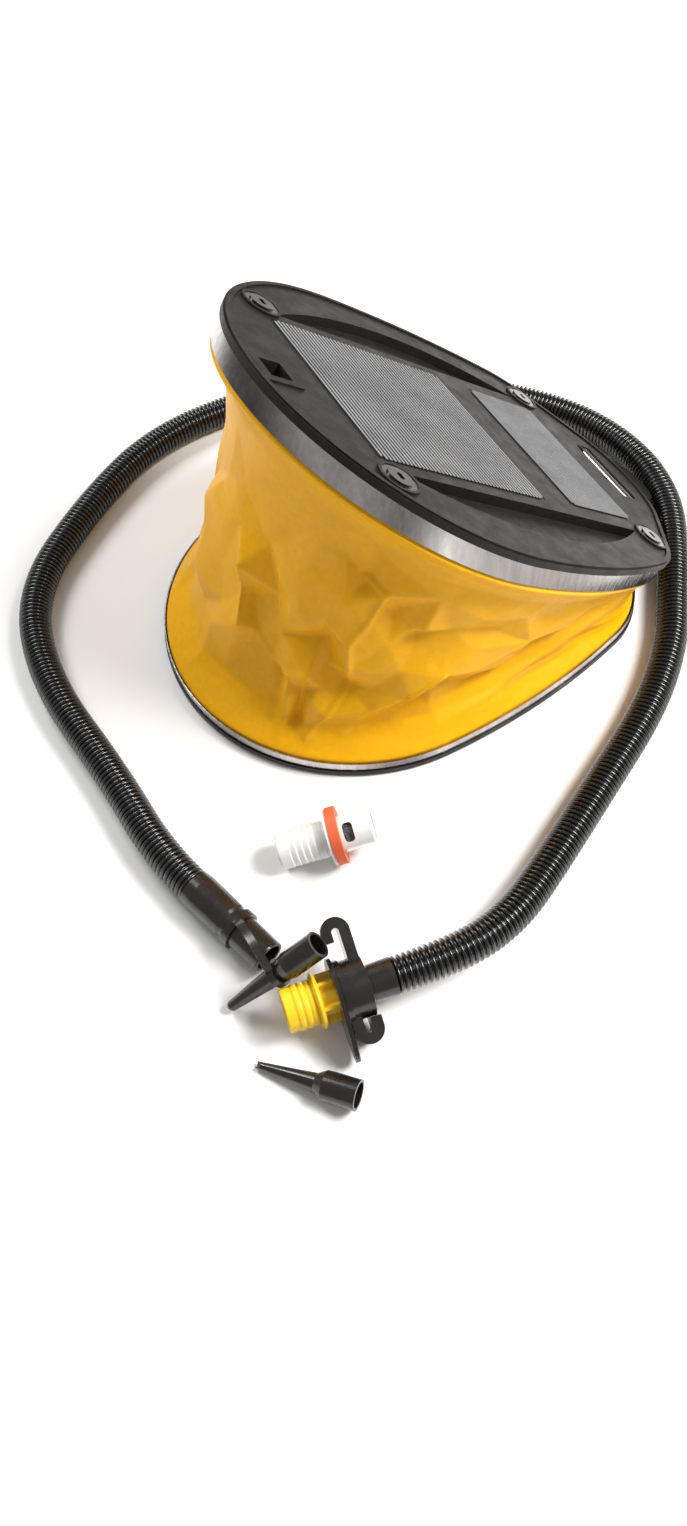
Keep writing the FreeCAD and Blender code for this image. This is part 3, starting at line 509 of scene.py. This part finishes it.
# Fold lines on the seen side as (distance from the nose mm, height % of the wall, outward mm).
FOLDS = [
    [(-15, 88, -1), (-3, 72, -4), (4, 60, -2)],
    [(14, 82, -1.5), (33, 63, -5), (51, 49, -5.5), (62, 39, -3)],
    [(51, 49, -5.5), (66, 51, 0.5), (82, 50, 2)],
    [(4, 60, -2), (27, 43, -4), (42, 33, -3), (58, 27, -4), (68, 24, -6)],
    [(20, 52, 2.5), (33, 34, 3)],
    [(68, 24, -6), (79, 26, 1.5), (90, 31, 3.5), (100, 27, 1)],
    [(68, 24, -6), (72, 12, -3.5), (77, 4, -1)],
    [(80, 20, 3.5), (84, 11, 3), (84, 5, 1)],
    [(89, 21, -2), (91, 11, -3), (92, 5, -1)],
    [(97, 22, 3.5), (98, 11, 2.5), (97, 5, 0.5)],
    [(120, 74, 2), (116, 62, 3), (108, 51, 5), (113, 40, 4), (118, 29, -5)],
    [(120, 74, 2), (106, 76, -3), (92, 79, -1)],
    [(120, 74, 2), (129, 68, -4), (141, 67, -1)],
    [(92, 46, -5), (88, 56, 3), (100, 66, 4), (106, 76, -3)],
    [(92, 46, -5), (100, 35, -3.5), (118, 29, -5)],
    [(118, 29, -5), (110, 16, 3), (102, 6, 1)],
    [(118, 29, -5), (132, 30, -1.5), (142, 31, 1)],
    [(112, 9, 0.5), (136, 21, 3), (158, 31, 4), (175, 43, 4), (192, 56, 2)],
    [(124, 6, -0.5), (150, 13, -3), (172, 22, -5), (178, 34, -3)],
    [(158, 31, 4), (172, 22, -5)],
    [(180, 19, -1.5), (210, 24, -4.5), (250, 38, -5), (300, 60, -3)],
    [(200, 40, 3), (240, 53, 3), (290, 72, 1)],
    [(190, 9, 1), (230, 15, 2.5), (280, 36, 3), (315, 55, 2)],
    [(129, 68, -4), (150, 60, -3), (172, 65, -1.5)],
    [(131, 55, 2), (150, 66, 3.5)],
    [(335, 35, -2), (338, 70, -1.5)],
    [(322, 45, 2), (328, 72, 1.5)],
]
PINCHES = [[(120, 74), (116, 62), (108, 51), (113, 40), (118, 29)], [(51, 49), (62, 39)],
           [(42, 33), (68, 24)], [(118, 29), (110, 16), (102, 6)], [(120, 74), (106, 76)],
           [(68, 24), (90, 31)], [(158, 31), (175, 43)], [(20, 52), (33, 34)], [(120, 74), (129, 68)]]


def crease_map(folds, across, up, spacing, strength, clear):
    """Outward mm at (across, up) on the crease map: flat facets between the folds and scattered points.

    The scattered points lie about spacing apart and over clear from the folds' own, up to strength in or out.
    """
    nodes_at, heights, edges = [], [], []
    index = {}
    for fold in folds:
        last = None
        for s, percent, out in fold:
            key = (s, percent)
            if key not in index:
                index[key] = len(nodes_at)
                nodes_at.append((float(s), percent * CREASE_SCALE / 100))
                heights.append(float(out))
            if last is not None:
                edges.append((last, index[key]))
            last = index[key]
    border_step, border_past = 22.0, 30
    for s in np.arange(-HALF - border_past, HALF + border_past + 1, border_step):
        for y in (-1.0, CREASE_SCALE + 1.0):
            nodes_at.append((float(s), y))
            heights.append(0.0)
    fixed = len(nodes_at)
    tries = int(2 * HALF * CREASE_SCALE / spacing ** 2 * 3)
    for _ in range(tries):
        p = (rng.uniform(-HALF, HALF), rng.uniform(8.0, CREASE_SCALE - 12.0))
        near = min(math.dist(p, q) for q in nodes_at)
        if near > spacing * 0.8 and all(math.dist(p, q) > clear for q in nodes_at[:fixed]):
            nodes_at.append(p)
            heights.append(rng.uniform(-strength, strength))
    verts, _, faces, sources, _, _ = delaunay_2d_cdt([Vector(p) for p in nodes_at], edges, [], 0, 1e-4)
    value = [heights[src[0]] if src else 0.0 for src in sources]
    result = np.zeros(across.shape)
    for face in faces:
        a, b, c = (np.array(verts[i]) for i in face[:3])
        det = (b[1] - c[1]) * (a[0] - c[0]) + (c[0] - b[0]) * (a[1] - c[1])
        if abs(det) < 1e-9:
            continue
        la = ((b[1] - c[1]) * (across - c[0]) + (c[0] - b[0]) * (up - c[1])) / det
        lb = ((c[1] - a[1]) * (across - c[0]) + (a[0] - c[0]) * (up - c[1])) / det
        lc = 1 - la - lb
        inside = (la >= -1e-6) & (lb >= -1e-6) & (lc >= -1e-6)
        result[inside] = (la * value[face[0]] + lb * value[face[1]] + lc * value[face[2]])[inside]
    return result


def soften(field, times):
    """Blur a grid of values with its four neighbours."""
    for _ in range(times):
        wide = np.pad(field, 1, mode="edge")
        field = (wide[:-2, 1:-1] + wide[2:, 1:-1] + wide[1:-1, :-2] + wide[1:-1, 2:] + 4 * field) / 8
    return field


def pinch_map(across, up):
    """Sharp little ridges where the fabric is pinched along a fold."""
    result = np.zeros(across.shape)
    for line in PINCHES:
        for (s0, p0), (s1, p1) in zip(line, line[1:]):
            a = np.array((s0, p0 * CREASE_SCALE / 100))
            d = np.array((s1, p1 * CREASE_SCALE / 100)) - a
            f = np.clip(((across - a[0]) * d[0] + (up - a[1]) * d[1]) / (d @ d), 0, 1)
            far = np.hypot(across - a[0] - f * d[0], up - a[1] - f * d[1])
            result = np.maximum(result, PINCH_RISE * np.clip(1 - far / PINCH_WIDTH, 0, 1))
    return result


# The wall's flare above the bottom band and its lip below the top one, as (mm from the band, mm inward).
FOOT_PROFILE = [(0, 0), (1.5, 0.6), (5, 3.6), (12, 9.4), (20, 14.0), (27, 16.0), (34, 15.6), (60, 13.0)]
HEAD_PROFILE = [(0, 0.2), (1.2, -1.5), (3.0, -1.8), (4.6, -0.4), (7, 3.4), (11, 6.6), (17, 8.8),
                (30, 10.5), (60, 13.0)]


def wall_depth(v, h):
    """How far the wall stands in from the straight line between the bands, v mm up a wall h mm high."""
    size = np.clip(h / FULL_WALL, 0.05, 1.0)
    foot = np.interp(v / size, *zip(*FOOT_PROFILE))
    head = np.interp((h - v) / size, *zip(*HEAD_PROFILE))
    return np.minimum(foot, head) * size


def make_bellows():
    """Creased fabric of two skins, closed at both collars, from the bottom band round to the top one."""
    columns, rows = ((600, 120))
    s = np.linspace(-HALF, HALF, columns, endpoint=False)
    foot, inward = on_outline(s)
    low = np.concatenate([foot, np.full((columns, 1), BASE_TOP)], 1)
    high = pedal_point(foot, PEDAL_LOW)
    tall = np.linalg.norm(high - low, axis=1)
    t = np.linspace(0.0, 1.0, rows)
    across, up = np.meshgrid(s, t * CREASE_SCALE)
    folds = soften(crease_map(FOLDS, across, up, spacing=26.0, strength=3.2, clear=15.0), 1)
    fine = soften(crease_map([], across, up, spacing=13.0, strength=0.7, clear=0.0), 1)
    out = CREASE_GAIN * folds + fine + PINCH_GAIN * pinch_map(across, up)
    height = t[:, None] * tall[None, :]
    edge = np.clip(np.minimum(height / FADE_LOW, (tall[None, :] - height) / FADE_HIGH), 0, 1)
    depth = wall_depth(height, tall[None, :]) - out * edge * np.clip(tall / FADE_WALL, 0, 1)[None, :]
    wall = low[None] + (high - low)[None] * t[:, None, None]
    angle = np.arctan2(wall[..., 2] - HINGE_Z, HINGE_X - wall[..., 0])
    normal = np.stack([inward[None, :, 0] * np.cos(angle), np.broadcast_to(inward[None, :, 1], angle.shape),
                       -inward[None, :, 0] * np.sin(angle)], -1)
    outer = wall + normal * depth[..., None]
    inner = outer + normal * FABRIC_THICK
    flat_in = np.concatenate([inward, np.zeros((columns, 1))], 1)
    tilt_in = np.stack([inward[:, 0] * math.cos(OPEN), inward[:, 1], -inward[:, 0] * math.sin(OPEN)], 1)
    bottom = low.copy()
    bottom[:, 2] = COLLAR_LOW
    top = pedal_point(foot, COLLAR_TOP)
    rings = [bottom, *outer, top, top + tilt_in * FABRIC_THICK, *inner[::-1], bottom + flat_in * FABRIC_THICK]
    verts = np.concatenate(rings) * MM
    faces = grid_faces(len(rings), columns)
    last = (len(rings) - 1) * columns
    faces += [(last + j, last + (j + 1) % columns, (j + 1) % columns, j) for j in range(columns)]
    bellows = add_mesh("creased_bellows", verts, faces, "coated_fabric")
    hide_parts("bellows")
    bend_about_hinge(bellows)
    return bellows


def bend_about_hinge(piece):
    """Bake the piece's placement into its mesh.
    """
    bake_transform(piece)


SPRING_TURNS, SPRING_WIRE_R, SPRING_X = 6, 1.6, 20.0
SPRING_WIDE, SPRING_NARROW = 34.0, 20.0                        # coil radius at the base and at the pedal
SPRING_START, SPRING_SWEEP = math.radians(-1.5), OPEN + math.radians(0.9)


def make_spring():
    """Conical coil whose axis is an arc about the hinge."""
    f = np.linspace(0.0, 1.0, 60 * SPRING_TURNS)
    turned = 2 * math.pi * SPRING_TURNS * f
    angle = SPRING_START + SPRING_SWEEP * f
    coil = SPRING_WIDE + (SPRING_NARROW - SPRING_WIDE) * f
    radius = HINGE_X - SPRING_X + coil * np.cos(turned)
    points = np.stack([HINGE_X - radius * np.cos(angle), coil * np.sin(turned),
                       HINGE_Z + radius * np.sin(angle)], 1) * MM
    around = 10
    verts = sweep(points, [SPRING_WIRE_R * MM] * len(points), around)
    spring = add_mesh("coil_spring", verts, tube_faces(len(points), around), "spring_steel")
    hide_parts("return_spring")
    bend_about_hinge(spring)


bellows = make_bellows()
make_spring()


# ---- floor and light ---------------------------------------------------------
FLOOR_SIZE, FLOOR_Z = 4.0, -0.0004     # the floor is a hair below the feet
SKY_STRENGTH = 0.36
LIGHTS = [                             # name, place, aim, size in metres, watts, tint
    ("key", (0.85, -0.55, 1.25), (0.0, 0.0, 0.08), 0.60, 36.0, (1.0, 0.985, 0.96)),
    ("back", (-0.35, 0.95, 1.10), (0.0, 0.0, 0.10), 0.60, 13.0, (1.0, 0.99, 0.98))]


def make_stage():
    mesh = bpy.data.meshes.new("floor")
    bm = bmesh.new()
    bmesh.ops.create_grid(bm, x_segments=2, y_segments=2, size=FLOOR_SIZE)
    bm.to_mesh(mesh)
    bm.free()
    floor = bpy.data.objects.new("floor", mesh)
    floor.location = (0.0, 0.0, FLOOR_Z)
    p = Paint("floor", rough=0.9, specular=0.1)
    p.colour(p.mix(p.noise(3.0), (0.90, 0.90, 0.90), (0.92, 0.92, 0.92)))
    mesh.materials.append(p.mat)
    scene.collection.objects.link(floor)
    world = bpy.data.worlds.new("studio")
    world.use_nodes = True
    world.node_tree.nodes["Background"].inputs["Color"].default_value = (1.0, 1.0, 1.0, 1.0)
    world.node_tree.nodes["Background"].inputs["Strength"].default_value = SKY_STRENGTH
    scene.world = world
    for name, at, aim, size, power, tint in LIGHTS:
        light = bpy.data.lights.new(name, "AREA")
        light.size = size
        light.energy = power
        light.color = tint
        obj = bpy.data.objects.new(name, light)
        obj.location = at
        obj.rotation_euler = (Vector(aim) - Vector(at)).to_track_quat("-Z", "Y").to_euler()
        scene.collection.objects.link(obj)
    scene.view_settings.view_transform = "Standard"


make_stage()
